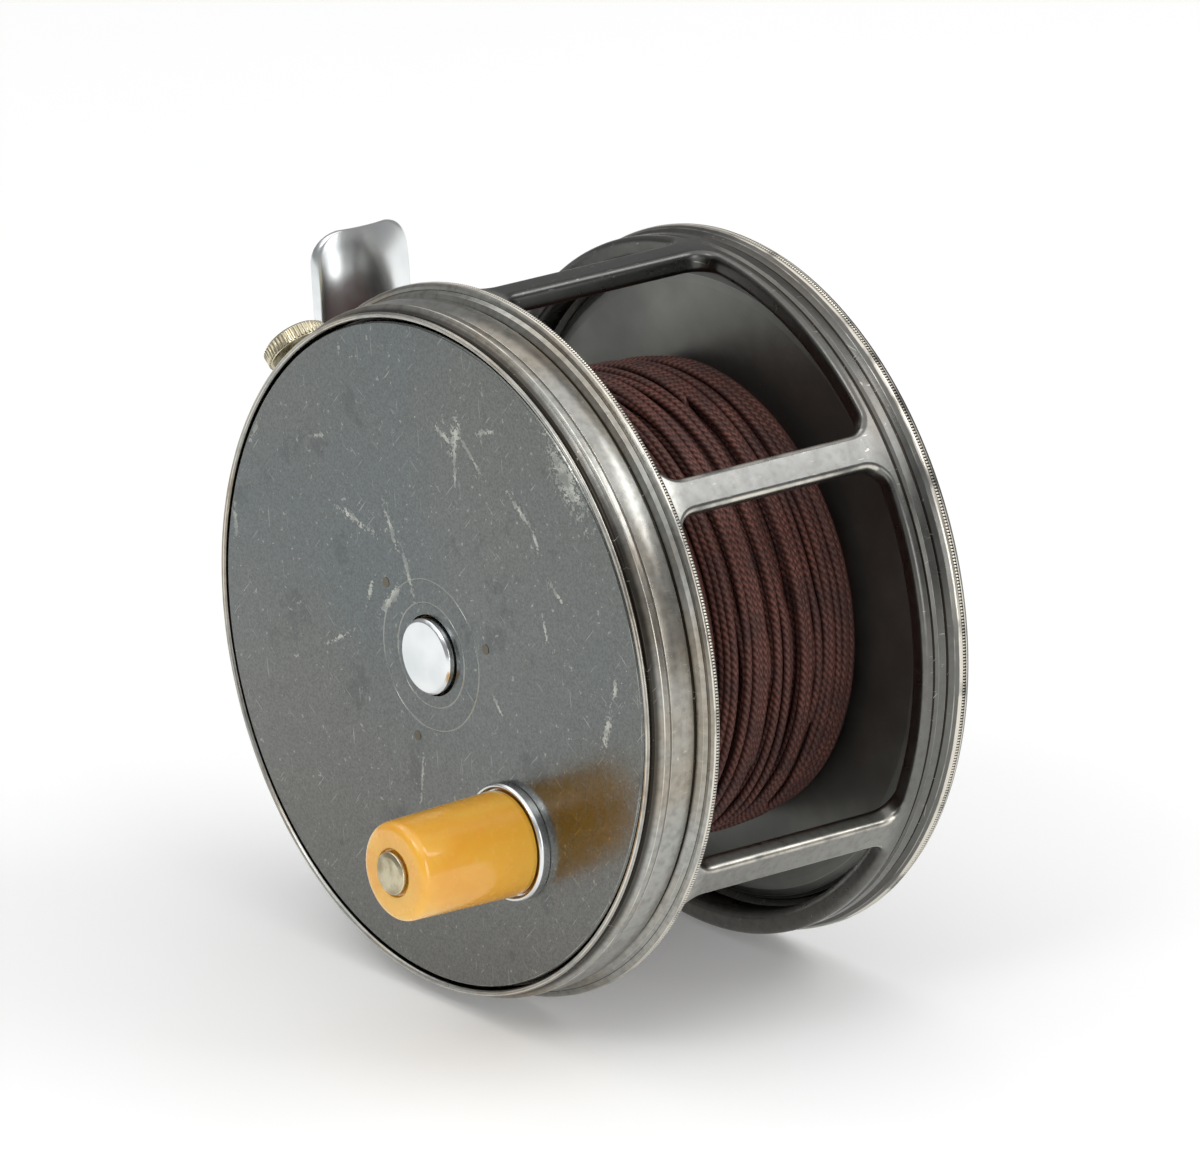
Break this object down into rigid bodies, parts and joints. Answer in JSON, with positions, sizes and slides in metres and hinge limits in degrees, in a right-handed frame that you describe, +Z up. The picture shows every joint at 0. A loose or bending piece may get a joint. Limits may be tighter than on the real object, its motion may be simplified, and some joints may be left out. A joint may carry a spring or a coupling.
{
  "type": "fly fishing reel",
  "caption": "Wide-drum centre-pin fly reel with an open barred cage, revolving front plate with an amber knob, rim regulator screw, foot and wound braided line.",
  "frame": {"origin": "centre of the back plate's flat outer face, on the spin axis", "axes": "+Y out of the back plate along the spin axis, the handle side faces -Y, +Z up as the reel stands on its two rims, the foot is on the -X side"},
  "size_m": [0.1004, 0.0727, 0.0952],
  "materials": {
    "bronzed_alloy": "dark bronzed, worn bright on edges",
    "leaded_alloy": "dark leaded finish, scratched",
    "drum_alloy": "dark matt",
    "polished_alloy": "polished",
    "nickel_silver": "satin, aged",
    "brass": "turned",
    "steel": "turned",
    "amber_resin": "glossy",
    "dressed_silk": "braided, waxed"
  },
  "bodies": {
    "frame": {"cage": "bronzed_alloy", "front_plate": "bronzed_alloy", "spindle": "steel", "spindle_cap": "polished_alloy", "bearing_cup": "brass", "foot": "polished_alloy", "foot_screw_1": "steel", "foot_screw_2": "steel", "foot_screw_3": "steel", "foot_screw_4": "steel", "pawl_pivot": "steel", "check_spring": "steel", "spring_post_1": "brass", "spring_post_2": "brass"},
    "drum": {"drum_hub": "brass", "drum_arbor": "drum_alloy", "drum_front_flange": "drum_alloy", "drum_rear_flange": "drum_alloy", "drum_tie_rod_1": "steel", "drum_tie_rod_2": "steel", "drum_tie_rod_3": "steel", "hub_bush_front": "brass", "hub_bush_rear": "brass", "bearing_cone": "brass", "ratchet_wheel": "brass", "winding_plate": "leaded_alloy", "plate_rivet_1": "brass", "plate_rivet_2": "brass", "plate_rivet_3": "brass", "handle_pin": "nickel_silver", "handle_collar": "polished_alloy", "handle_nut": "nickel_silver", "line_winding": "dressed_silk"},
    "knob": {"handle_knob": "amber_resin"},
    "ball_ring": {"bearing_ball_01": "steel", "bearing_ball_02": "steel", "bearing_ball_03": "steel", "bearing_ball_04": "steel", "bearing_ball_05": "steel", "bearing_ball_06": "steel", "bearing_ball_07": "steel", "bearing_ball_08": "steel", "bearing_ball_09": "steel", "bearing_ball_10": "steel", "bearing_ball_11": "steel", "bearing_ball_12": "steel", "bearing_ball_13": "steel", "bearing_ball_14": "steel"},
    "pawl": {"check_pawl": "steel"},
    "shoe": {"regulator_shoe": "brass"},
    "regulator": {"regulator_screw": "nickel_silver"},
    "lock_nut": {"regulator_lock_nut": "nickel_silver"}
  },
  "joints": [
    {"name": "drum_spin", "type": "hinge", "parent": "frame", "child": "drum", "pos_m": [0, -0.025, 0], "axis": [0, 1, 0], "continuous": true},
    {"name": "knob_spin", "type": "hinge", "parent": "drum", "child": "knob", "pos_m": [0.0173, -0.062, -0.0207], "axis": [0, 1, 0], "continuous": true},
    {"name": "ball_orbit", "type": "hinge", "parent": "frame", "child": "ball_ring", "pos_m": [0, -0.04465, 0], "axis": [0, 1, 0], "continuous": true},
    {"name": "pawl_rock", "type": "hinge", "parent": "frame", "child": "pawl", "pos_m": [-0.02, -0.0476, 0.01661], "axis": [0, 1, 0], "range_deg": [-26, 26], "stiffness_Nm_per_rad": 0.0003},
    {"name": "regulator_travel", "type": "slide", "parent": "frame", "child": "shoe", "axis": [-0.7694, 0, 0.6388], "range_m": [-0.0002, 0.0009]},
    {"name": "regulator_turn", "type": "hinge", "parent": "shoe", "child": "regulator", "pos_m": [-0.03155, -0.045, 0.02619], "axis": [-0.7694, 0, 0.6388], "range_deg": [-120.1, 540.1]},
    {"name": "lock_nut_turn", "type": "hinge", "parent": "frame", "child": "lock_nut", "pos_m": [-0.03632, -0.045, 0.03015], "axis": [-0.7694, 0, 0.6388], "range_deg": [0, 180]}
  ],
  "couplings": [
    {"joint": "ball_orbit", "follows": "drum_spin", "ratio": 0.40476},
    {"joint": "regulator_turn", "follows": "regulator_travel", "rad_per_m": 10472}
  ]
}
